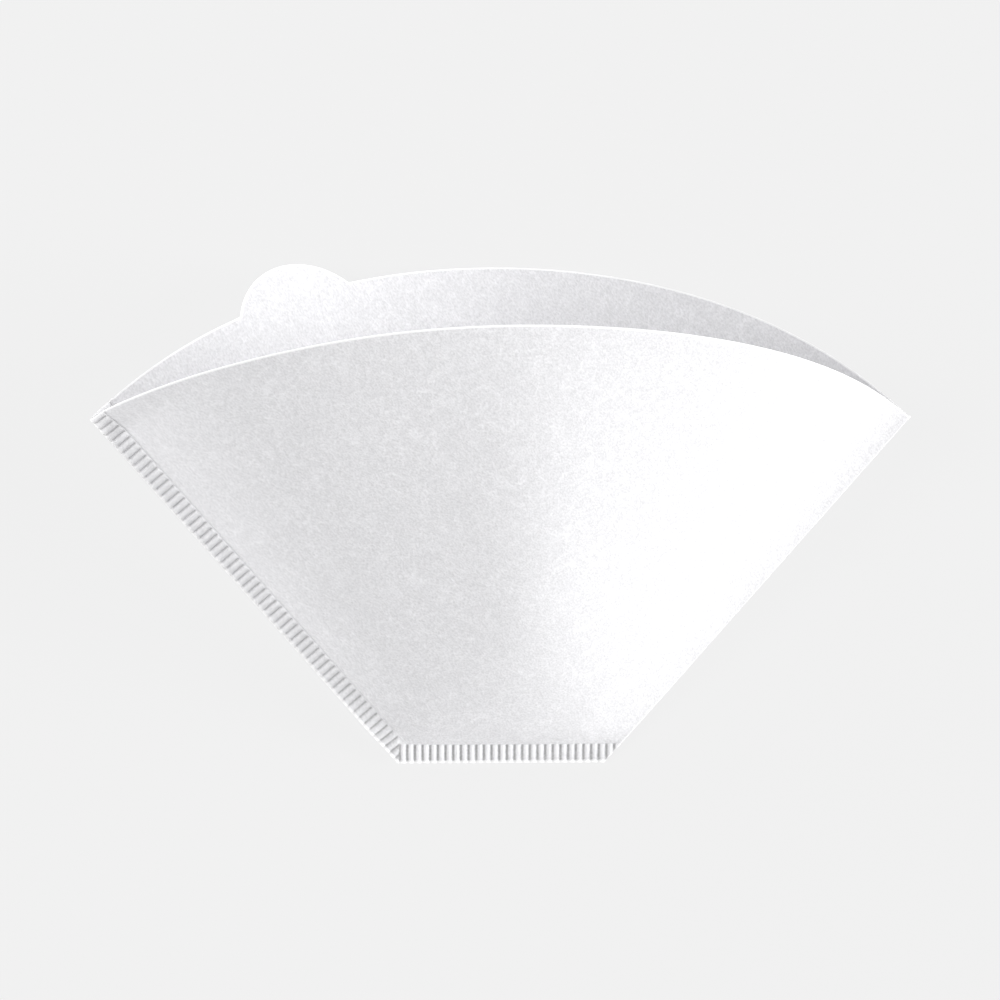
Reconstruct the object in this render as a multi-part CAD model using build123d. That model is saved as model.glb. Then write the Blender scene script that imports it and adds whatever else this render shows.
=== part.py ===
from build123d import *
import math
import os

# A cone-shaped paper coffee filter, opened and lying on its back wall.
# Lengths are in millimetres and angles in degrees.
# It is one sheet of filter paper, folded double along its right side. The two plies are
# pressed together by a ribbed crimp along the left side and along the straight bottom.
# It is built upright: X runs along the bottom towards the fold, Y towards the back wall
# and Z up from the bottom edge to the mouth. It is laid down at the end.

# The sheet
paper_thickness = 0.25
fold_growth_share = 0.4
base_width = 43.2
side_lean = 40.0
rim_radius = 126.1
rim_centre_drop = 20.5

# The walls run on past the rim by this much, and each one's bulge is measured up there
wall_past_rim = 6.4
front_belly = 43.3
back_belly = 47.2

# The pull of the walls' control points, across from crimp to fold and up from the bottom
front_pull_shares = (0, 1.46, 0.61, 1.67, 0.38, 0)
back_pull_shares = (0, 0.59, 1.37, 1.17, 0.74, 0)
opening_shares = (0, 0.31, 0.36, 0.675, 0.79, 1)

# The ribbed crimps
crimp_width = 3.8
side_pitch = 1.68
base_pitch = 1.61
rib_height = 0.25
facets_per_rib = 6

# The pull tab on the back wall's rim, an oval as seen from the front
tab_half_width = 13.2
tab_height_share = 0.885
tab_below_rim = 5.9
tab_bar_reach = 18.0
tab_across_share = 0.265

# How finely the back wall and the angle it lies at are searched
tab_tries = 400
wall_tries = 40
angle_step = 0.1
steepest_angle = 60

FRONT = -1
BACK = 1
lean_slope = math.tan(math.radians(side_lean))
lean_length = 1 / math.cos(math.radians(side_lean))
fold_growth = fold_growth_share * paper_thickness
wall_top = rim_radius - rim_centre_drop + wall_past_rim
rim_centre = Vector(0, 0, -rim_centre_drop)


def fold_line(height):
    """How far right the folded edge lies at a height."""
    return base_width / 2 + height * lean_slope


def crimp_line(height):
    """How far right the side crimp ends and the pouch begins, at a height."""
    return crimp_width * lean_length - fold_line(height)


def wall_net(side, thickness, growth):
    """Control points of one wall, a row for each level from the crimp's top upwards.

    The inner face has no thickness or growth. The outer face stands out by the thickness
    and is wider by the growth at each end, so that the paper goes round the fold.
    """
    belly, pulls = (front_belly, front_pull_shares) if side == FRONT else (back_belly, back_pull_shares)
    low = crimp_width - growth
    rows = []
    for level, opening in enumerate(opening_shares):
        height = low + (wall_top - low) * level / (len(opening_shares) - 1)
        left, right = crimp_line(height) - growth, fold_line(height) + growth
        step = (right - left) / (len(pulls) - 1)
        depths = [side * (thickness + belly * opening * pull) for pull in pulls]
        rows.append([Vector(left + column * step, depth, height) for column, depth in enumerate(depths)])
    return rows


def pocket(thickness, growth):
    """The closed body between the two walls' faces, with a flat top past the rim."""
    front = wall_net(FRONT, thickness, growth)
    back = wall_net(BACK, thickness, growth)
    faces = [Face.make_bezier_surface(front), Face.make_bezier_surface(back)]
    top_edges = [Bezier(*front[-1]), Bezier(*back[-1])]
    if thickness:
        top_edges += [Line(front[-1][0], back[-1][0]), Line(front[-1][-1], back[-1][-1])]
        faces.append(make_face(Polyline(front[0][0], front[-1][0], back[-1][0], back[0][0], close=True)))
        faces.append(make_face(Polyline(front[0][-1], front[-1][-1], back[-1][-1], back[0][-1], close=True)))
        faces.append(make_face(Polyline(front[0][0], front[0][-1], back[0][-1], back[0][0], close=True)))
    faces.append(make_face(top_edges))
    return Solid(Shell(faces))


def rib_line(length, pitch, offset):
    """A faceted wave along X, its crests rib_height to each side of Y = offset."""
    facet = pitch / facets_per_rib
    points = []
    for number in range(math.ceil(length / facet)):
        turn = 2 * math.pi * (number + 1 / 2) / facets_per_rib
        points.append(Vector(number * facet, offset + rib_height * math.sin(turn), 0))
    return points


def ribbed_strip(length, pitch, width):
    """Two plies pressed into ribs: a strip along X, with ribs that run along Z."""
    near = rib_line(length, pitch, -paper_thickness)
    far = rib_line(length, pitch, paper_thickness)
    return extrude(make_face(Polyline(*near, *reversed(far), close=True)), width)


def slab(corners, thickness):
    """A flat plate in the seam's plane, drawn by its corners in X and Z."""
    outline = Polyline(*[(across, 0, height) for across, height in corners], close=True)
    return extrude(make_face(outline), thickness / 2, dir=(0, 1, 0), both=True)


def base_crimp():
    """The crimp along the bottom, from the mitre at the corner to the fold."""
    left = -base_width / 2
    top = crimp_width - fold_growth
    ribs = Pos(left, 0, 0) * ribbed_strip(fold_line(top) - left, base_pitch, top)
    corners = [(left, 0), (-left, 0), (fold_line(top), top), (crimp_line(top) - fold_growth, top)]
    return ribs & slab(corners, crimp_width)


def side_crimp():
    """The crimp up the left side, its ribs square to the cut edge."""
    left = -base_width / 2
    lean = math.radians(side_lean)
    up_the_edge = (-math.sin(lean), 0, math.cos(lean))
    inwards = (math.cos(lean), 0, math.sin(lean))
    edge_plane = Plane(origin=(left, 0, 0), x_dir=up_the_edge, z_dir=inwards)
    width = crimp_width - fold_growth / lean_length
    ribs = edge_plane * ribbed_strip(rim_radius, side_pitch, width)
    inner = crimp_width - fold_growth
    corners = [
        (left, 0),
        (crimp_line(inner) - fold_growth, inner),
        (crimp_line(wall_top) - fold_growth, wall_top),
        (-fold_line(wall_top), wall_top),
    ]
    return ribs & slab(corners, crimp_width)


def tab_lobe():
    """An oval bar from front to back through the back wall, which leaves the pull tab standing."""
    wall = Face.make_bezier_surface(wall_net(BACK, 0, 0))
    line = [wall.position_at(step / tab_tries, tab_across_share) for step in range(tab_tries + 1)]
    reach = rim_radius - tab_below_rim
    centre = min(line, key=lambda place: abs((place - rim_centre).length - reach))
    facing = Plane(origin=centre, x_dir=(1, 0, 0), z_dir=(0, BACK, 0))
    oval = facing * Ellipse(tab_half_width, tab_height_share * tab_half_width)
    return extrude(oval, tab_bar_reach, both=True)


def rim_ball():
    """The cut rim lies on this ball, whose centre is below the bottom edge."""
    return Pos(rim_centre) * Sphere(rim_radius)


def rim_cutter():
    """What the cut rim leaves: all inside the ball, and the pull tab."""
    return rim_ball() + tab_lobe()


def upright_filter():
    """The whole filter, standing on its bottom edge."""
    pouch = (pocket(paper_thickness, fold_growth) - pocket(0, 0)) & rim_cutter()
    return pouch + base_crimp() + (side_crimp() & rim_ball())


def underside():
    """Places that can meet the floor: the bottom ribs and the outside of the back wall."""
    wall = Face.make_bezier_surface(wall_net(BACK, paper_thickness, fold_growth))
    places = [Vector(0, paper_thickness + rib_height, 0)]
    for up in range(wall_tries + 1):
        for across in range(wall_tries + 1):
            place = wall.position_at(up / wall_tries, across / wall_tries)
            if (place - rim_centre).length < rim_radius:
                places.append(place)
    return places


def laid_down(upright):
    """The filter turned onto its back wall, where it rests with its weight lowest, at Z = 0."""
    places = underside()
    centre = upright.center()

    def height_above_floor(rise):
        upwards = Vector(0, -math.cos(math.radians(rise)), math.sin(math.radians(rise)))
        return centre.dot(upwards) - min(place.dot(upwards) for place in places)

    rises = [number * angle_step for number in range(round(steepest_angle / angle_step))]
    rise = min(rises, key=height_above_floor)
    turned = Rot(rise - 90, 0, 0) * upright
    left, *_, right = turned.vertices().sort_by(Axis.X)
    middle = turned.bounding_box().center()
    floor = turned.center().Z - height_above_floor(rise)
    return Pos(-(left.X + right.X) / 2, -middle.Y, -floor) * turned


filter_paper = laid_down(upright_filter())
filter_paper.label = "filter_paper"
os.makedirs("parts", exist_ok=True)
export_step(filter_paper, "parts/filter_paper.step")
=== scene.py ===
import math

import bpy
import numpy as np
from bpy.props import FloatProperty, FloatVectorProperty, PointerProperty
from mathutils import Matrix, Vector


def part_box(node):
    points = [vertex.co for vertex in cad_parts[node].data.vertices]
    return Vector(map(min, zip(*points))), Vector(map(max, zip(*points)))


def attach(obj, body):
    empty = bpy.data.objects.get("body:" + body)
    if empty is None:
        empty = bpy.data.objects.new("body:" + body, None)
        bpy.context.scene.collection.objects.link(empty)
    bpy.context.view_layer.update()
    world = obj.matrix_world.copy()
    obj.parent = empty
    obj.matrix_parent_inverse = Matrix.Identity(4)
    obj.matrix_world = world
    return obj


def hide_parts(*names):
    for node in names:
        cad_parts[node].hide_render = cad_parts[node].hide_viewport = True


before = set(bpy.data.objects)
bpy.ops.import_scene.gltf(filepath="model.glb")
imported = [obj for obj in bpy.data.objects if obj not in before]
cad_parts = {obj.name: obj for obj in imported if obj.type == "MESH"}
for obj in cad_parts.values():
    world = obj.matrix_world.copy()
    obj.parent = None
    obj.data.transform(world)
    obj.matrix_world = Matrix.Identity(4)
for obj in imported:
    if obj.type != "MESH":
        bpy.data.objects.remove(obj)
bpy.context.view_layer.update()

bl_info = {
    "name": "Paper Coffee Filter",
    "version": (1, 0, 0),
    "blender": (4, 5, 0),
    "location": "3D View > Sidebar > Coffee Filter",
    "description": "An open cone filter of white paper, with ribbed crimps and a round pull tab",
    "category": "Object",
}

NODE = "filter_paper"
BODY = "root"
MM = 0.001
FRONT = -1
BACK = 1

# The pull of each wall's control points, across from crimp to fold, and of both up from the crimp
FRONT_PULLS = (0, 1.46, 0.61, 1.67, 0.38, 0)
BACK_PULLS = (0, 0.59, 1.37, 1.17, 0.74, 0)
OPENING = (0, 0.31, 0.36, 0.675, 0.79, 1)

# The photograph's frame, and where the point that the camera is aimed at shows in it
FRAME_PIXELS = 1000
AIM_PIXEL = (500.4, 554.8)
SENSOR = 36.0

# How finely the sheets are drawn: places across each wall and up it, up and across the side's crimp,
# along and up the bottom's, and points round the fold. The rough counts serve to measure where it lies
WALL_COLUMNS = 150
WALL_ROWS = 110
SIDE_COLUMNS = 11
SIDE_ROWS = 900
BASE_COLUMNS = 420
BASE_ROWS = 11
FOLD_POINTS = 5
ROUGH_COUNT = 60
ROUGH_COLUMNS = 4

# How much closer the rows lie near the rim, and the crimp's near its inner line: a power of the share left
RIM_CROWDING = 1.5
BAND_CROWDING = 1.6

# How sharp the fibres are in the paper's grain, and the shares of that grain
FIBRE_SHARPNESS = 20
ROUGH_SHARE = 0.05
FIBRE_SHARE = 0.2

# Where the floor ends on each side, in metres
FLOOR_REACH = 3.0


class FilterSizes(bpy.types.PropertyGroup):
    """The sheet's sizes, as the filter would stand on its bottom edge."""

    paper_thickness: FloatProperty(
        name="Paper thickness", description="How thick one ply is",
        default=0.25 * MM, unit="LENGTH", precision=5,
    )
    base_width: FloatProperty(
        name="Bottom width", description="Length of the straight bottom edge",
        default=43.2 * MM, unit="LENGTH",
    )
    side_lean: FloatProperty(
        name="Side lean", description="How far each side leans out from upright",
        default=math.radians(40), subtype="ANGLE",
    )
    rim_radius: FloatProperty(
        name="Rim radius", description="Radius of the ball that the cut rim lies on",
        default=126.1 * MM, unit="LENGTH",
    )
    rim_centre_drop: FloatProperty(
        name="Rim centre drop", description="How far the rim's centre lies below the bottom edge",
        default=20.5 * MM, unit="LENGTH",
    )
    wall_past_rim: FloatProperty(
        name="Wall past rim", description="How far above the rim each wall's bulge is measured",
        default=6.4 * MM, unit="LENGTH",
    )
    front_belly: FloatProperty(
        name="Front bulge", description="How far the front wall stands out",
        default=43.3 * MM, unit="LENGTH",
    )
    back_belly: FloatProperty(
        name="Back bulge", description="How far the back wall stands out",
        default=47.2 * MM, unit="LENGTH",
    )
    fold_radius: FloatProperty(
        name="Fold radius", description="Radius of the paper's middle round the fold",
        default=0.32 * MM, unit="LENGTH", precision=5,
    )
    fold_reach: FloatProperty(
        name="Fold reach", description="How far from the fold its roundness still parts the plies",
        default=2.56 * MM, unit="LENGTH", precision=5,
    )
    fold_pinch: FloatProperty(
        name="Fold pinch", description="How much the mouth closes by the fold", default=1.4
    )
    fold_swell: FloatProperty(
        name="Fold swell", description="How far the walls swell low by the fold",
        default=5 * MM, unit="LENGTH",
    )
    pinch_reach: FloatProperty(
        name="Pinch reach", description="How far from the fold the pinch reaches",
        default=8 * MM, unit="LENGTH",
    )
    swell_reach: FloatProperty(
        name="Swell reach", description="How far from the fold the swell is highest",
        default=20 * MM, unit="LENGTH",
    )
    swell_rise: FloatProperty(
        name="Swell rise", description="How far up from the bottom the swell reaches",
        default=32 * MM, unit="LENGTH",
    )
    ridge_height: FloatProperty(
        name="Ridge height", description="How far the front wall's soft ridge stands out",
        default=2.5 * MM, unit="LENGTH",
    )
    ridge_width: FloatProperty(
        name="Ridge width", description="Distance from the ridge to where it is steepest",
        default=12 * MM, unit="LENGTH",
    )
    ridge_place: FloatProperty(
        name="Ridge place", description="How far right of the bottom's middle the ridge lies",
        default=6 * MM, unit="LENGTH",
    )
    ridge_end: FloatProperty(
        name="Ridge end", description="The share of the wall's height where the ridge is gone",
        default=0.89, subtype="FACTOR",
    )
    ply_gap: FloatProperty(
        name="Ply gap", description="Air left between the two pressed plies",
        default=0.03 * MM, unit="LENGTH", precision=5,
    )
    crimp_width: FloatProperty(
        name="Crimp width", description="Width of the ribbed band", default=3.8 * MM, unit="LENGTH"
    )
    side_pitch: FloatProperty(
        name="Side rib pitch", description="Distance between ribs up the side",
        default=1.68 * MM, unit="LENGTH", precision=5,
    )
    base_pitch: FloatProperty(
        name="Bottom rib pitch", description="Distance between ribs along the bottom",
        default=1.61 * MM, unit="LENGTH", precision=5,
    )
    rib_height: FloatProperty(
        name="Rib height", description="How far a rib stands out to each side",
        default=0.2 * MM, unit="LENGTH", precision=5,
    )
    rib_end: FloatProperty(
        name="Rib end", description="How far past the crimp's inner line a rib fades out",
        default=0.5 * MM, unit="LENGTH", precision=5,
    )
    side_shift: FloatProperty(
        name="Side rib shift", description="Where the first side rib's crest lies",
        default=0.31 * MM, unit="LENGTH", precision=5,
    )
    base_shift: FloatProperty(
        name="Bottom rib shift", description="Where the first bottom rib's crest lies",
        default=1.22 * MM, unit="LENGTH", precision=5,
    )
    parting_depth: FloatProperty(
        name="Parting depth", description="How far each ply is pulled open at the mouth's crimped corner",
        default=4.3 * MM, unit="LENGTH",
    )
    parting_length: FloatProperty(
        name="Parting length", description="How far down the crimp the plies are pulled open",
        default=7 * MM, unit="LENGTH",
    )
    parting_growth: FloatProperty(
        name="Parting growth", description="How the pulled plies part in from the cut edge, as a power",
        default=0.4,
    )
    parting_reach: FloatProperty(
        name="Parting reach", description="How far into the walls the pulled corner can be seen",
        default=12 * MM, unit="LENGTH",
    )
    tab_half_width: FloatProperty(
        name="Tab half width", description="Half the pull tab's width, as seen from the front",
        default=12.5 * MM, unit="LENGTH",
    )
    tab_half_height: FloatProperty(
        name="Tab half height", description="Half the pull tab's height, as seen from the front",
        default=17.2 * MM, unit="LENGTH",
    )
    tab_lean: FloatProperty(
        name="Tab lean", description="How far the tab's oval leans left from upright",
        default=math.radians(49.3), subtype="ANGLE",
    )
    tab_left: FloatProperty(
        name="Tab place", description="How far left of the bottom's middle the tab's centre lies",
        default=38.9 * MM, unit="LENGTH",
    )
    tab_height: FloatProperty(
        name="Tab height", description="Height of the tab's centre above the bottom edge",
        default=85.95 * MM, unit="LENGTH",
    )
    # Painted highlight and painted shade on the side's ribs: crests drawn lighter and grooves darker, for
    # the light and shadow on them.
    side_crest_painted_light: FloatProperty(
        name="Side crest shade", description="How much lighter the paper is on the side's ribs",
        default=0.19,
    )
    side_groove_painted_shade: FloatProperty(
        name="Side groove shade", description="How much darker the paper is in the side's grooves",
        default=0.27,
    )
    # Painted shade: the side's crimp is drawn darker towards the bottom corner, fading up the edge.
    side_painted_shade: FloatProperty(
        name="Side shade", description="How much darker the side's crimp is at the bottom corner",
        default=0.24,
    )
    side_painted_shade_reach: FloatProperty(
        name="Side shade reach", description="How far up the side's crimp its own shade reaches",
        default=20 * MM, unit="LENGTH",
    )
    # Painted highlight and painted shade on the bottom's ribs: crests drawn lighter and grooves darker, for
    # the light and shadow on them.
    base_crest_painted_light: FloatProperty(
        name="Bottom crest shade", description="How much lighter the paper is on the bottom's ribs",
        default=0.15,
    )
    base_groove_painted_shade: FloatProperty(
        name="Bottom groove shade", description="How much darker the paper is in the bottom's grooves",
        default=0.66,
    )
    side_flatness: FloatProperty(
        name="Side rib flatness", description="How flat the side ribs' crests are", default=0.25
    )
    base_flatness: FloatProperty(
        name="Bottom rib flatness", description="How flat the bottom ribs' crests are", default=-0.1
    )
    # Painted light: the paper is drawn white and glowing this far in from each cut edge.
    glowing_edge: FloatProperty(
        name="Raw edge", description="How far in from a cut edge the paper is fuzzed and bright",
        default=0.4 * MM, unit="LENGTH", precision=5,
    )
    # Painted light: the crimp is given this share of the cut edges' white and glow.
    crimp_glow_share: FloatProperty(
        name="Pressed share", description="How much of the raw edge's brightness the crimp has",
        default=0.12, subtype="FACTOR",
    )
    rest_angle: FloatProperty(
        name="Rest angle", description="How far the seam rises when the filter lies on its back wall",
        default=math.radians(22.6), subtype="ANGLE",
    )


class FilterFinish(bpy.types.PropertyGroup):
    """The paper's colour and surface."""

    colour: FloatVectorProperty(
        name="Paper", description="Colour of the bleached paper",
        default=(0.861, 0.858, 0.876), subtype="COLOR",
    )
    # Painted highlight: the white that the cut edges and crimps are drawn in.
    edge_highlight_colour: FloatVectorProperty(
        name="Cut edge", description="Colour of the paper's raw cut edges",
        default=(1, 1, 1), subtype="COLOR",
    )
    roughness: FloatProperty(
        name="Roughness", description="How dull the paper is", default=0.95, subtype="FACTOR"
    )
    gloss: FloatProperty(
        name="Gloss", description="How much the paper shines", default=0.2, subtype="FACTOR"
    )
    # Painted light: the glow of the cut edges and crimps, which are no lamp.
    edge_glow: FloatProperty(
        name="Edge glow", description="Light that comes through the thin cut edges", default=0.28
    )
    grain_shade: FloatProperty(
        name="Grain shade", description="How much the grain shows as light and dark", default=0.42
    )
    grain_middle: FloatProperty(
        name="Grain middle", description="The grain's value that leaves the colour as it is",
        default=0.55,
    )
    grain_depth: FloatProperty(
        name="Grain depth", description="Depth of the creped grain and fibres",
        default=0.04 * MM, unit="LENGTH", precision=5,
    )
    cockle_depth: FloatProperty(
        name="Cockle depth", description="Depth of the sheet's slow waves",
        default=0.5 * MM, unit="LENGTH", precision=5,
    )


class FilterStage(bpy.types.PropertyGroup):
    """The floor, the lights and the camera."""

    floor_colour: FloatVectorProperty(
        name="Floor", description="Colour of the plain floor",
        default=(0.06, 0.06, 0.06), subtype="COLOR",
    )
    floor_glow: FloatProperty(
        name="Floor glow", description="Light that the pale floor gives by itself", default=0.82
    )
    sky: FloatProperty(name="Room light", description="Strength of the light from all sides", default=0.38)
    key: FloatProperty(name="Key light", description="Strength of the low light on the right", default=2.6)
    side: FloatProperty(name="Side light", description="Strength of the light at the right", default=1.0)
    high: FloatProperty(
        name="High light", description="Strength of the light at the upper right", default=0.45
    )
    fill: FloatProperty(
        name="Fill light", description="Strength of the low light on the left", default=0.85
    )
    front: FloatProperty(
        name="Front light", description="Strength of the light at the front left", default=0.98
    )
    top: FloatProperty(name="Top light", description="Strength of the light past the mouth", default=0.57)
    camera_distance: FloatProperty(
        name="Camera distance", description="Distance of the camera from its aim",
        default=600 * MM, unit="LENGTH",
    )
    aim_height: FloatProperty(
        name="Aim height", description="Height of the camera's aim above the bottom edge",
        default=45 * MM, unit="LENGTH",
    )
    camera_rise: FloatProperty(
        name="Camera rise", description="How far the camera looks down on the mouth",
        default=math.radians(14.09), subtype="ANGLE",
    )
    camera_turn: FloatProperty(
        name="Camera turn", description="How far the camera stands to the left",
        default=math.radians(0.99), subtype="ANGLE",
    )
    pixels_per_metre: FloatProperty(
        name="Scale in the frame", description="Pixels to a metre at the aim", default=4837.0
    )


class Value:
    """A number in a material. Sums, differences and products of it add their Math nodes."""

    def __init__(self, nodes, socket):
        self.nodes = nodes
        self.socket = socket

    def maths(self, operation, *values, clamp=False):
        """One Math node on this value and the others."""
        return self.nodes.add(
            "ShaderNodeMath", {"operation": operation, "use_clamp": clamp}, dict(enumerate((self, *values)))
        )

    def __add__(self, other):
        return self.maths("ADD", other)

    def __sub__(self, other):
        return self.maths("SUBTRACT", other)

    def __rsub__(self, other):
        return self.nodes.add("ShaderNodeMath", {"operation": "SUBTRACT"}, {0: other, 1: self})

    def __mul__(self, other):
        return self.maths("MULTIPLY", other)

    def __abs__(self):
        return self.maths("ABSOLUTE")

    def held(self):
        """The value kept between 0 and 1."""
        return self.maths("ADD", 0.0, clamp=True)

    __radd__ = __add__
    __rmul__ = __mul__


class MaterialNodes:
    """A material's node tree, in which each node is made by one method."""

    def __init__(self, name):
        self.material = bpy.data.materials.new(name)
        self.material.use_nodes = True
        self.tree = self.material.node_tree
        self.tree.nodes.clear()

    def add(self, kind, settings=None, inputs=None, output=0):
        """A node of a kind, with its settings made first and then its sockets' values or links."""
        node = self.tree.nodes.new(kind)
        for key, value in (settings or {}).items():
            setattr(node, key, value)
        for key, value in (inputs or {}).items():
            if isinstance(value, Value):
                self.tree.links.new(value.socket, node.inputs[key])
            else:
                node.inputs[key].default_value = value
        return Value(self, node.outputs[output]) if len(node.outputs) else None


def bernstein(shares, t):
    """Sum over k of C(n, k) t^k (1 - t)^(n - k) share_k."""
    n = len(shares) - 1
    return sum(math.comb(n, k) * t**k * (1 - t) ** (n - k) * share for k, share in enumerate(shares))


def eased(t):
    """3 t^2 - 2 t^3, with t kept between 0 and 1."""
    t = np.clip(t, 0, 1)
    return t * t * (3 - 2 * t)


def fold_line(sizes, height):
    """How far right the folded edge lies: half the bottom width plus the height times tan(lean)."""
    return sizes.base_width / 2 + height * math.tan(sizes.side_lean)


def crimp_line(sizes, height):
    """Where the pouch begins: the left edge plus the crimp's width over cos(lean)."""
    return sizes.crimp_width / math.cos(sizes.side_lean) - fold_line(sizes, height)


def wall_top(sizes):
    """The height where each wall's bulge is measured."""
    return sizes.rim_radius - sizes.rim_centre_drop + sizes.wall_past_rim


def ply_offset(sizes, height, to_fold):
    """How far a ply's middle lies from the seam's plane.

    It is half a ply plus half the gap, and grows to the fold's radius as exp(-distance / reach),
    less in the crimp, where the fold is pressed flat.
    """
    pressed = (sizes.paper_thickness + sizes.ply_gap) / 2
    radius = pressed + (sizes.fold_radius - pressed) * eased(height / sizes.crimp_width / 2)
    return pressed + (radius - pressed) * np.exp(-to_fold / sizes.fold_reach)


def edge_length(sizes):
    """Length of the crimped edge, from the bottom corner up the lean to the rim's ball: the root of
    a^2 + 2 p a + q, with p = half bottom * sin(lean) + drop * cos(lean) and
    q = half bottom^2 + drop^2 - radius^2."""
    half, drop = sizes.base_width / 2, sizes.rim_centre_drop
    p = half * math.sin(sizes.side_lean) + drop * math.cos(sizes.side_lean)
    return math.sqrt(p * p - half * half - drop * drop + sizes.rim_radius**2) - p


def from_edge(sizes, x, height):
    """Distances up the crimped edge from its bottom corner and square in from it."""
    left = x + sizes.base_width / 2
    sine, cosine = math.sin(sizes.side_lean), math.cos(sizes.side_lean)
    return height * cosine - left * sine, height * sine + left * cosine


def rib_wave(along, flatness):
    """A wave with flat crests and sharp grooves: cos(a) - flatness * cos(2 a), at angle a along it."""
    angle = 2 * math.pi * along
    return np.cos(angle) - flatness * np.cos(2 * angle)


def crimp_bands(sizes, x, height):
    """How much a place lies in the side's crimp and in the bottom's. Both fade past the crimp's inner
    line, and they meet on an upright line at the corner."""
    inwards = from_edge(sizes, x, height)[1]
    side, base = (eased((band_width(sizes) - reach) / sizes.rib_end) for reach in (inwards, height))
    share = eased((x + sizes.base_width / 2 - sizes.rib_end / 2) / sizes.rib_end + 0.5)
    return side * (1 - share), base * share


def rib_waves(sizes, x, height):
    """The side's ribs, which run square to its edge, and the bottom's, which run upright."""
    side_band, base_band = crimp_bands(sizes, x, height)
    along, corner = from_edge(sizes, x, height)[0], x + sizes.base_width / 2
    side = rib_wave((along - sizes.side_shift) / sizes.side_pitch, sizes.side_flatness)
    base = rib_wave((corner - sizes.base_shift) / sizes.base_pitch, sizes.base_flatness)
    return side * side_band, base * base_band


def painted_rib_shading(sizes, places):
    """The crimps' painted light and shade: each wave times the crest's painted highlight above 0 and the
    groove's painted shade below, less the side's painted shade, darker towards the bottom corner, which
    falls off up the edge as exp(-distance / reach)."""
    x, height = places[..., 0], places[..., 2]
    side, base = rib_waves(sizes, x, height)
    lighter = side * np.where(side > 0, sizes.side_crest_painted_light, sizes.side_groove_painted_shade)
    lighter += base * np.where(base > 0, sizes.base_crest_painted_light, sizes.base_groove_painted_shade)
    # Painted shade on the side's crimp, darker towards the bottom corner.
    own = sizes.side_painted_shade * np.exp(-from_edge(sizes, x, height)[0] / sizes.side_painted_shade_reach)
    return lighter - own * crimp_bands(sizes, x, height)[0]


def parting(sizes, x, height):
    """How far each ply is pulled open at the mouth's crimped corner: it grows in from the cut edge as
    the distance^growth, and towards the rim, and falls off into the wall as exp(-distance / reach)."""
    along, inwards = from_edge(sizes, x, height)
    opening = eased(1 - (edge_length(sizes) - along) / sizes.parting_length)
    past = np.maximum(inwards - sizes.crimp_width, 0)
    grown = np.clip(inwards / sizes.crimp_width, 0, 1) ** sizes.parting_growth
    return sizes.parting_depth * opening * grown * np.exp(-past / sizes.parting_reach)


def near_fold(sizes, to_fold, up, height):
    """The walls by the fold: a share that closes the mouth there, 1 - pinch * up^2 * exp(-distance /
    reach), and a low swell, swell * t * exp(-t) * exp(-height / rise), with t the distance over its
    reach."""
    closing = 1 - sizes.fold_pinch * up**2 * np.exp(-to_fold / sizes.pinch_reach)
    t = to_fold / sizes.swell_reach
    low = eased(height / sizes.crimp_width - 1) * np.exp(-height / sizes.swell_rise)
    return closing, sizes.fold_swell * t * np.exp(-t) * low


def front_ridge(sizes, x, up):
    """The front wall's soft ridge: height * exp(-(distance / width)^2 / 2), which has grown a third of
    the way up from the crimp, and is gone at the rim, as 1 - (up / end)^4."""
    grown = eased(3 * up) * np.clip(1 - (up / sizes.ridge_end) ** 4, 0, 1)
    return sizes.ridge_height * grown * np.exp(-(((x - sizes.ridge_place) / sizes.ridge_width) ** 2) / 2)


def ply_place(sizes, side, x, height):
    """The middle of a ply at a place on the standing sheet. The depth is belly * opening(up) *
    pull(across), on two degree 5 Bernstein sums, less by the fold, with the swell there and the front
    wall's ridge, plus the ply's offset, its parting and the ribs."""
    pulls = FRONT_PULLS if side == FRONT else BACK_PULLS
    belly = sizes.front_belly if side == FRONT else sizes.back_belly
    left, right = crimp_line(sizes, height), fold_line(sizes, height)
    across = np.clip((x - left) / (right - left), 0, 1)
    up = np.maximum(height - sizes.crimp_width, 0) / (wall_top(sizes) - sizes.crimp_width)
    closing, swell = near_fold(sizes, right - x, up, height)
    bulge = belly * bernstein(OPENING, up) * bernstein(pulls, across) * closing + swell
    if side == FRONT:
        bulge = bulge + front_ridge(sizes, x, up)
    offset = ply_offset(sizes, height, right - x) + parting(sizes, x, height)
    depth = side * (bulge + offset) - sizes.rib_height * sum(rib_waves(sizes, x, height))
    return np.stack([x, depth, height + 0 * x], -1)


def band_width(sizes):
    """Width of the crimp's band with the ends of its ribs."""
    return sizes.crimp_width + sizes.rib_end


def wall_place(sizes, side, across, height):
    """The middle of a wall, evenly from the crimp's band to the fold."""
    left = band_width(sizes) / math.cos(sizes.side_lean) - fold_line(sizes, height)
    return ply_place(sizes, side, left + (fold_line(sizes, height) - left) * across, height)


def bisected(inside, low, high, steps=40):
    """The last place between low and high that is still inside, by halving."""
    for _ in range(steps):
        middle = (low + high) / 2
        held = inside(middle)
        low, high = np.where(held, middle, low), np.where(held, high, middle)
    return low


def inside_rim(sizes, place):
    """How far inside the rim's ball a place lies."""
    return sizes.rim_radius - np.linalg.norm(place + [0, 0, sizes.rim_centre_drop], axis=-1)


def inside_tab(sizes, place):
    """How far inside the tab's oval a place lies, as seen straight from the front."""
    right, up = place[..., 0] + sizes.tab_left, place[..., 2] - sizes.tab_height
    sine, cosine = math.sin(sizes.tab_lean), math.cos(sizes.tab_lean)
    wide = (right * cosine + up * sine) / sizes.tab_half_width
    high = (up * cosine - right * sine) / sizes.tab_half_height
    return sizes.tab_half_width * (1 - np.hypot(wide, high))


def rim_height(sizes, side, across):
    """How high a wall reaches: where it leaves the rim's ball."""
    low = np.full_like(across, band_width(sizes))
    high = np.full_like(across, 2 * wall_top(sizes))
    return bisected(lambda height: inside_rim(sizes, wall_place(sizes, side, across, height)) > 0, low, high)


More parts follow.
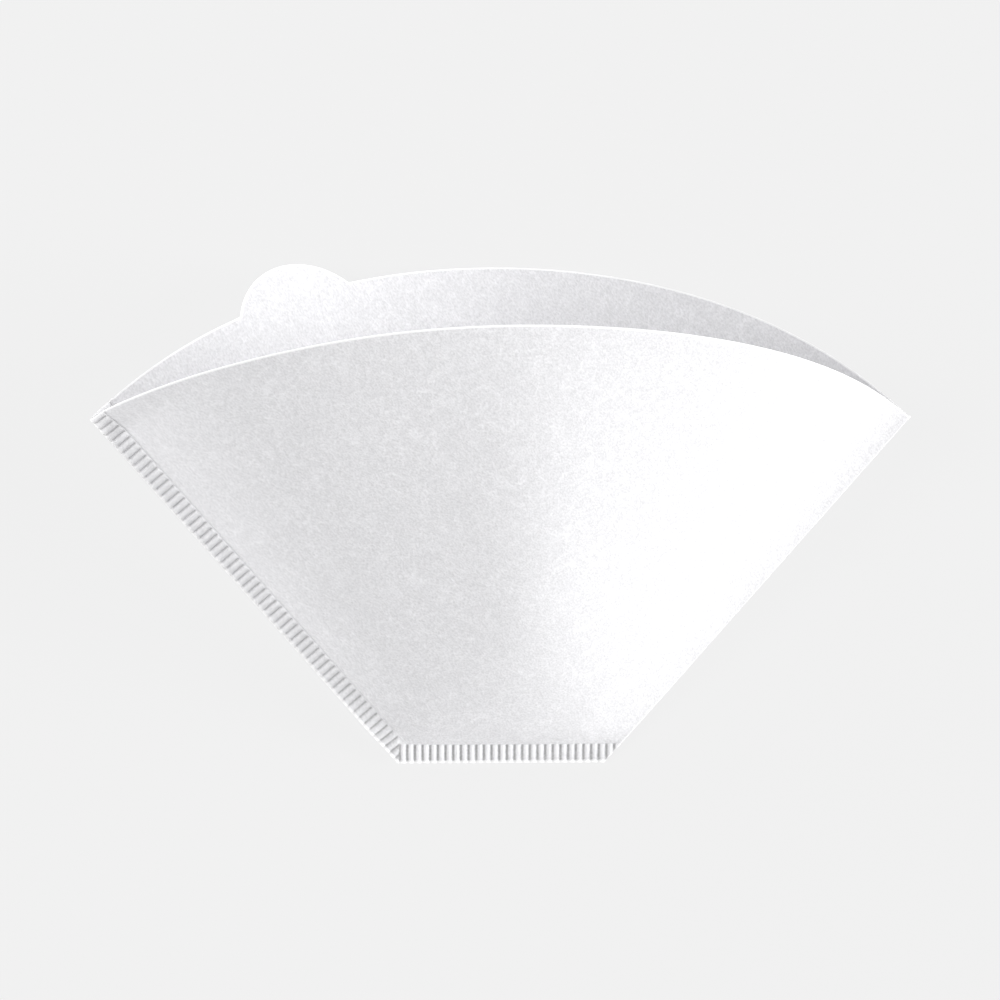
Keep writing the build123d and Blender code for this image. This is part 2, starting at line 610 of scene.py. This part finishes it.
def back_columns(sizes, count):
    """Places across the back wall, an eighth of them left of the tab and a third on it, where they lie
    at middle - half * cos(angle) for even angles, with one on each of its corners."""

    def on_tab(across):
        return inside_tab(sizes, wall_place(sizes, BACK, across, rim_height(sizes, BACK, across))) > 0

    tries = np.linspace(0, 1, count)
    centre = tries[on_tab(tries)].mean()
    low, high = bisected(on_tab, np.full(2, centre), np.array([0.0, 1.0]))
    tab = (low + high) / 2 - (high - low) / 2 * np.cos(np.linspace(0, math.pi, count // 3))
    left = np.linspace(0, low, count // 8, endpoint=False)
    right = np.linspace(high, 1, count - count // 3 - len(left) + 1)[1:]
    return np.concatenate([left, tab, right])


def top_height(sizes, side, across):
    """How high a wall reaches, with the pull tab on the back one."""
    rim = rim_height(sizes, side, across)
    if side == FRONT:
        return rim

    def on_tab(height):
        return inside_tab(sizes, wall_place(sizes, side, across, height)) > 0

    return np.where(on_tab(rim), bisected(on_tab, rim, rim + 2 * sizes.tab_half_height), rim)


def edge_light_share(sizes, side, places):
    """How much painted light each place gets: 1 on a cut edge, 0 past the glowing edge's width, and a share
    of that in the crimp."""
    x, height = places[..., 0], places[..., 2]
    rim = inside_rim(sizes, places)
    if side == BACK:
        rim = np.maximum(rim, inside_tab(sizes, places))
    inwards = np.minimum(from_edge(sizes, x, height)[1], height)
    # Painted light in the crimp: a share of the cut edges' white and glow.
    pressed = sizes.crimp_glow_share * eased((band_width(sizes) - inwards) / sizes.rib_end)
    return np.maximum(eased(1 - np.minimum(inwards, rim) / sizes.glowing_edge), pressed)


def round_fold(front, back, points):
    """Half circles between the last columns of the two walls: the centre plus the radius times the sine
    and cosine of even angles."""
    centre = (front + back) / 2
    radius = np.linalg.norm(front - back, axis=-1)[:, None] / 2
    angles = np.linspace(0, math.pi, points + 2)[1:-1]
    outwards = np.array([1.0, 0, 0])
    forwards = (front - centre) / radius
    arcs = [centre + radius * (math.cos(angle) * forwards + math.sin(angle) * outwards) for angle in angles]
    return np.stack(arcs, 1)


def skins(middle, thickness):
    """Two faces of a sheet: its middle plus and minus half the thickness along the grid's normal,
    which is the cross product of the differences along columns and rows."""
    down = np.gradient(middle, axis=0)
    along = np.gradient(middle, axis=1)
    normal = np.cross(along, down)
    normal /= np.linalg.norm(normal, axis=-1)[..., None]
    return middle + normal * thickness / 2, middle - normal * thickness / 2


def slab(middle, thickness):
    """A closed sheet round a grid of middle places: its places, faces and which faces are smooth."""
    rows, columns = middle.shape[:2]
    outer, inner = skins(middle, thickness)
    number = np.arange(rows * columns).reshape(rows, columns)
    quads = np.stack([number[:-1, :-1], number[1:, :-1], number[1:, 1:], number[:-1, 1:]], -1).reshape(-1, 4)
    edge = np.concatenate([number[0, :], number[1:, -1], number[-1, -2::-1], number[-2:0:-1, 0]])
    after = np.roll(edge, -1)
    far = rows * columns
    sides = np.stack([edge, edge + far, after + far, after], -1)
    faces = np.concatenate([quads[:, ::-1], quads + far, sides[:, ::-1]])
    places = np.concatenate([outer.reshape(-1, 3), inner.reshape(-1, 3)])
    smooth = np.arange(len(faces)) < 2 * len(quads)
    return places, faces, smooth


def lay_down(sizes, places):
    """The places turned about X from standing to lying on the back wall: by the rest angle less 90
    degrees."""
    turn = sizes.rest_angle - math.pi / 2
    x, y, z = places.T
    sine, cosine = math.sin(turn), math.cos(turn)
    return np.stack([x, y * cosine - z * sine, y * sine + z * cosine], -1)


def rest_offset(sizes):
    """What moves the laid-down filter to the CAD node: the two boxes' middles meet, and their lowest
    places."""
    low, high = (np.array(corner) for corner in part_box(NODE))
    pouch = lay_down(sizes, pouch_grid(sizes, ROUGH_COUNT, ROUGH_COUNT)[0].reshape(-1, 3))
    crimp = lay_down(sizes, side_crimp_grid(sizes, FRONT, ROUGH_COLUMNS, ROUGH_COUNT)[0].reshape(-1, 3))
    both = np.concatenate([pouch, crimp])
    offset = (low + high) / 2 - (both.min(0) + both.max(0)) / 2
    offset[2] = low[2] + sizes.paper_thickness / 2 - pouch[:, 2].min()
    return offset


def make_piece(name, grids, sizes, material):
    """One object of closed sheets, laid down on the floor. Each place on both skins carries its share of
    painted edge light and the ribs' painted light and shade, which the material reads."""
    slabs = [slab(middle, sizes.paper_thickness) for middle, _ in grids]
    starts = np.cumsum([0] + [len(part[0]) for part in slabs])
    places = lay_down(sizes, np.concatenate([part[0] for part in slabs])) + rest_offset(sizes)
    faces = np.concatenate([part[1] + start for part, start in zip(slabs, starts)])
    smooths = np.concatenate([part[2] for part in slabs])
    marks = {
        "glowing_edge": np.concatenate([np.tile(edge_light.ravel(), 2) for _, edge_light in grids]),
        "painted_rib_shading": np.concatenate([np.tile(painted_rib_shading(sizes, middle).ravel(), 2) for middle, _ in grids]),
    }
    mesh = bpy.data.meshes.new(name)
    mesh.vertices.add(len(places))
    mesh.vertices.foreach_set("co", places.astype(np.float32).ravel())
    mesh.loops.add(faces.size)
    mesh.loops.foreach_set("vertex_index", faces.astype(np.int32).ravel())
    mesh.polygons.add(len(faces))
    mesh.polygons.foreach_set("loop_start", np.arange(0, faces.size, 4, dtype=np.int32))
    mesh.polygons.foreach_set("use_smooth", smooths)
    mesh.update(calc_edges=True)
    for mark, values in marks.items():
        mesh.attributes.new(mark, "FLOAT", "POINT").data.foreach_set("value", values.astype(np.float32))
    mesh.validate()
    piece = bpy.data.objects.new(name, mesh)
    bpy.context.scene.collection.objects.link(piece)
    mesh.materials.append(material)
    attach(piece, BODY)
    return piece


def folded_strip(sizes, front, back):
    """One strip of a front grid, the fold's half circles and a back grid, with its shares of painted edge
    light.
    """
    fold = round_fold(front[:, -1], back[:, -1], FOLD_POINTS)
    sides = ((FRONT, front), (FRONT, fold), (BACK, back))
    shares = [edge_light_share(sizes, side, places) for side, places in sides]
    middle = np.concatenate([front, fold, back[:, ::-1]], 1)
    return middle, np.concatenate([shares[0], shares[1], shares[2][:, ::-1]], 1)


def pouch_grid(sizes, columns, rows):
    """The pouch's middle as one strip: front wall, round the fold, and back wall with its tab.
    Rows lie at 1 - (1 - t)^crowding of the way up, closer near the rim."""
    up = (1 - (1 - np.linspace(0, 1, rows)) ** RIM_CROWDING)[:, None]
    walls = []
    for side, across in ((FRONT, np.linspace(0, 1, columns)), (BACK, back_columns(sizes, columns))):
        heights = band_width(sizes) + up * (top_height(sizes, side, across) - band_width(sizes))[None, :]
        walls.append(wall_place(sizes, side, np.broadcast_to(across, heights.shape), heights))
    return folded_strip(sizes, *walls)


def band_places(sizes, count):
    """Places across a band, closer near its inner line: width * (1 - (1 - t)^crowding)."""
    return band_width(sizes) * (1 - (1 - np.linspace(0, 1, count)) ** BAND_CROWDING)


def side_crimp_grid(sizes, side, columns, rows):
    """One ply of the side crimp: rows from the corner's mitre up to the rim, columns in from the cut
    edge."""
    sine, cosine = math.sin(sizes.side_lean), math.cos(sizes.side_lean)
    inwards = band_places(sizes, columns)[None, :]
    mitre = inwards * (1 - sine) / cosine

    def place(along):
        x = inwards * cosine - along * sine - sizes.base_width / 2
        return ply_place(sizes, side, x, along * cosine + inwards * sine)

    def is_inside(along):
        return inside_rim(sizes, place(along)) > 0

    top = bisected(is_inside, mitre + 1 * MM, mitre + sizes.rim_radius)
    middle = place(mitre + (top - mitre) * np.linspace(0, 1, rows)[:, None])
    return middle, edge_light_share(sizes, side, middle)


def base_crimp_grid(sizes, columns, rows):
    """The bottom crimp as one strip: front ply, round the fold, and back ply."""
    height = band_places(sizes, rows)[:, None]
    corner = -sizes.base_width / 2
    slope = 1 / math.cos(sizes.side_lean) - math.tan(sizes.side_lean)
    mitre = corner + height * slope
    x = mitre + (fold_line(sizes, height) - mitre) * np.linspace(0, 1, columns)[None, :]
    return folded_strip(sizes, *(ply_place(sizes, side, x, height + 0 * x) for side in (FRONT, BACK)))


def paper_material(finish):
    """White paper: a dull white surface with a fine creped grain, fibres and slow cockles as relief.

    The fibres lie where a slow noise passes its middle: 1 - |noise - middle| * sharpness, kept above 0.
    """
    nodes = MaterialNodes("white_paper")
    place = nodes.add("ShaderNodeTexCoord", output="Object")

    def noise(scale, length=1.0, turn=0.0, shift=(0, 0, 0), detail=2.0, distortion=0.0):
        """Noise with so many grains to a metre, drawn out along Y turned about Z."""
        mapped = nodes.add(
            "ShaderNodeMapping",
            {"vector_type": "TEXTURE"},
            {
                "Vector": place,
                "Location": shift,
                "Rotation": (0, 0, math.radians(turn)),
                "Scale": (1, length, 1),
            },
        )
        return nodes.add(
            "ShaderNodeTexNoise",
            {"noise_dimensions": "3D"},
            {"Vector": mapped, "Scale": scale, "Detail": detail, "Distortion": distortion},
        )

    def fibres(*drawn):
        return 1 - (abs(noise(*drawn) - 0.5) * FIBRE_SHARPNESS).held()

    crepe = noise(2900, 1.8, 35, detail=1, distortion=0.4)
    rough = noise(1200, 1.8, 35, (4, 8, 0), 2, 0.4)
    strands = fibres(210, 2, 40, (3, 1, 0), 2, 1.2)
    others = fibres(180, 1.5, -35, (7, 5, 0), 2, 1.5)
    cloud = noise(120, shift=(2, 9, 0))
    grain = crepe * (1 - ROUGH_SHARE) + rough * ROUGH_SHARE + (strands + others) * cloud * FIBRE_SHARE
    # Painted light: cut edges and crimps are drawn white and made to glow by this share.
    edge_light = nodes.add("ShaderNodeAttribute", {"attribute_name": "glowing_edge"}, {}, "Fac")
    # Painted light and shade of the crimps' ribs, added to the paper's colour.
    ribs = nodes.add("ShaderNodeAttribute", {"attribute_name": "painted_rib_shading"}, {}, "Fac")
    shade = (grain - finish.grain_middle) * finish.grain_shade + ribs + 1
    speckled = nodes.add("ShaderNodeVectorMath", {"operation": "SCALE"}, {0: finish.colour, "Scale": shade})

    def mixed(share, first, second):
        return nodes.add("ShaderNodeMix", {"data_type": "RGBA"}, {0: share, 6: first, 7: second}, 2)

    # Painted highlight and glow on the cut edges and crimps.
    colour = mixed(edge_light, speckled, (*finish.edge_highlight_colour, 1))
    glow = mixed(edge_light, (0, 0, 0, 1), (1, 1, 1, 1))
    cockle = noise(24, 1.4, 20, (5, 2, 0), 2, 0.4)
    slow = nodes.add("ShaderNodeBump", {}, {"Distance": finish.cockle_depth, "Height": cockle})
    relief = nodes.add(
        "ShaderNodeBump", {}, {"Distance": finish.grain_depth, "Height": grain, "Normal": slow}
    )
    shader = nodes.add(
        "ShaderNodeBsdfPrincipled",
        {},
        {
            "Base Color": colour,
            "Emission Color": glow,
            "Emission Strength": finish.edge_glow,
            "Roughness": finish.roughness,
            "Specular IOR Level": finish.gloss,
            "Normal": relief,
        },
    )
    nodes.add("ShaderNodeOutputMaterial", {}, {"Surface": shader})
    return nodes.material


def shared_paper(context):
    """The paper's material, made once."""
    return bpy.data.materials.get("white_paper") or paper_material(context.scene.coffee_filter_finish)


def floor_material(stage):
    """A pale floor that gives most of its light by itself, so that it stays even."""
    nodes = MaterialNodes("pale_floor")
    shader = nodes.add(
        "ShaderNodeBsdfPrincipled",
        {},
        {
            "Base Color": (*stage.floor_colour, 1),
            "Roughness": 1.0,
            "Specular IOR Level": 0.0,
            "Emission Color": (1, 1, 1, 1),
            "Emission Strength": stage.floor_glow,
        },
    )
    nodes.add("ShaderNodeOutputMaterial", {}, {"Surface": shader})
    return nodes.material


def make_floor(stage):
    """One flat square under the part."""
    sheet = bpy.data.meshes.new("floor")
    corners = [(FLOOR_REACH * x, FLOOR_REACH * y, 0) for x, y in ((-1, -1), (1, -1), (1, 1), (-1, 1))]
    sheet.from_pydata(corners, [], [(0, 1, 2, 3)])
    sheet.materials.append(floor_material(stage))
    floor = bpy.data.objects.new("floor", sheet)
    bpy.context.scene.collection.objects.link(floor)


def make_room_light(stage):
    """White light from all sides."""
    world = bpy.data.worlds.new("studio")
    world.use_nodes = True
    background = world.node_tree.nodes["Background"]
    background.inputs["Color"].default_value = (1, 1, 1, 1)
    background.inputs["Strength"].default_value = stage.sky
    bpy.context.scene.world = world


def camera_view(sizes, stage):
    """The place that the camera is aimed at, and its three axes: rightwards, upwards and looking."""
    turn, rise = stage.camera_turn, stage.camera_rise
    looking = [math.sin(turn) * math.cos(rise), math.cos(turn) * math.cos(rise), -math.sin(rise)]
    upwards = [math.sin(turn) * math.sin(rise), math.cos(turn) * math.sin(rise), math.cos(rise)]
    aim = [0, 0, stage.aim_height]
    looking, upwards, aim = lay_down(sizes, np.array([looking, upwards, aim]))
    return aim + rest_offset(sizes), np.cross(looking, upwards), upwards, looking


def make_camera(sizes, stage):
    """The camera at the photograph's angle. Its lens and shift give the part the photograph's size and
    place in the frame."""
    aim, rightwards, upwards, looking = camera_view(sizes, stage)
    data = bpy.data.cameras.new("camera")
    data.sensor_width = SENSOR
    data.lens = stage.pixels_per_metre * stage.camera_distance * SENSOR / FRAME_PIXELS
    data.shift_x = (FRAME_PIXELS / 2 - AIM_PIXEL[0]) / FRAME_PIXELS
    data.shift_y = (AIM_PIXEL[1] - FRAME_PIXELS / 2) / FRAME_PIXELS
    data.clip_start = 10 * MM
    camera = bpy.data.objects.new("camera", data)
    bpy.context.scene.collection.objects.link(camera)
    axes = Matrix([rightwards, upwards, -looking]).transposed().to_4x4()
    camera.matrix_world = Matrix.Translation(aim - looking * stage.camera_distance) @ axes
    bpy.context.scene.camera = camera


def make_lamps(sizes, stage):
    """Six soft lamps, each with its strength, its spread in degrees, and its direction in the camera's
    axes: right, up and near."""
    aim, rightwards, upwards, looking = camera_view(sizes, stage)
    lamps = (
        ("key", stage.key, 20, (0.97, -0.1, 0.1)),
        ("side", stage.side, 25, (0.9, 0, 0.4)),
        ("high", stage.high, 25, (0.9, 0.35, 0.25)),
        ("fill", stage.fill, 25, (-0.95, -0.3, 0.12)),
        ("front", stage.front, 30, (-0.6, 0, 0.8)),
        ("top", stage.top, 30, (-0.5, 0.8, 0.3)),
    )
    for name, strength, spread, (right, up, near) in lamps:
        data = bpy.data.lights.new(name, "SUN")
        data.angle = math.radians(spread)
        data.energy = strength
        lamp = bpy.data.objects.new(name, data)
        bpy.context.scene.collection.objects.link(lamp)
        towards = Vector(rightwards * right + upwards * up - looking * near).normalized()
        lamp.location = Vector(aim) + towards * stage.camera_distance
        lamp.rotation_euler = towards.to_track_quat("Z", "Y").to_euler()


class OBJECT_OT_filter_pouch(bpy.types.Operator):
    """Make the open pouch: both walls, the fold and the pull tab"""

    bl_idname = "object.filter_pouch"
    bl_label = "Make Pouch"

    def execute(self, context):
        sizes = context.scene.coffee_filter_sizes
        grid = pouch_grid(sizes, WALL_COLUMNS, WALL_ROWS)
        piece = make_piece("pouch_walls", [grid], sizes, shared_paper(context))
        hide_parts(NODE)
        return {"FINISHED"}


class OBJECT_OT_filter_crimps(bpy.types.Operator):
    """Make the ribbed crimps up the side and along the bottom"""

    bl_idname = "object.filter_crimps"
    bl_label = "Make Crimps"

    def execute(self, context):
        sizes = context.scene.coffee_filter_sizes
        material = shared_paper(context)
        plies = [side_crimp_grid(sizes, side, SIDE_COLUMNS, SIDE_ROWS) for side in (FRONT, BACK)]
        make_piece("side_crimp", plies, sizes, material)
        make_piece("bottom_crimp", [base_crimp_grid(sizes, BASE_COLUMNS, BASE_ROWS)], sizes, material)
        return {"FINISHED"}


class OBJECT_OT_filter_stage(bpy.types.Operator):
    """Make the floor, the lights and the camera"""

    bl_idname = "object.filter_stage"
    bl_label = "Make Stage"

    def execute(self, context):
        sizes, stage = context.scene.coffee_filter_sizes, context.scene.coffee_filter_stage
        context.scene.view_settings.view_transform = "Standard"
        make_floor(stage)
        make_room_light(stage)
        make_camera(sizes, stage)
        make_lamps(sizes, stage)
        return {"FINISHED"}


class VIEW3D_PT_coffee_filter(bpy.types.Panel):
    """The filter's sizes, finish and stage"""

    bl_label = "Coffee Filter"
    bl_idname = "VIEW3D_PT_coffee_filter"
    bl_space_type = "VIEW_3D"
    bl_region_type = "UI"
    bl_category = "Coffee Filter"

    def draw(self, context):
        layout = self.layout
        scene = context.scene
        for group in (scene.coffee_filter_sizes, scene.coffee_filter_finish, scene.coffee_filter_stage):
            box = layout.box()
            for name in group.__annotations__:
                box.prop(group, name)
        for operator in OPERATORS:
            layout.operator(operator.bl_idname)


OPERATORS = (OBJECT_OT_filter_pouch, OBJECT_OT_filter_crimps, OBJECT_OT_filter_stage)
CLASSES = (FilterSizes, FilterFinish, FilterStage, *OPERATORS, VIEW3D_PT_coffee_filter)


def register():
    """Adds the classes and the scene's three groups of settings."""
    for item in CLASSES:
        bpy.utils.register_class(item)
    bpy.types.Scene.coffee_filter_sizes = PointerProperty(type=FilterSizes)
    bpy.types.Scene.coffee_filter_finish = PointerProperty(type=FilterFinish)
    bpy.types.Scene.coffee_filter_stage = PointerProperty(type=FilterStage)


def unregister():
    """Takes away what register adds."""
    del bpy.types.Scene.coffee_filter_stage
    del bpy.types.Scene.coffee_filter_finish
    del bpy.types.Scene.coffee_filter_sizes
    for item in reversed(CLASSES):
        bpy.utils.unregister_class(item)


def main():
    register()
    bpy.ops.object.filter_pouch()
    bpy.ops.object.filter_crimps()
    bpy.ops.object.filter_stage()


if __name__ == "__main__":
    main()
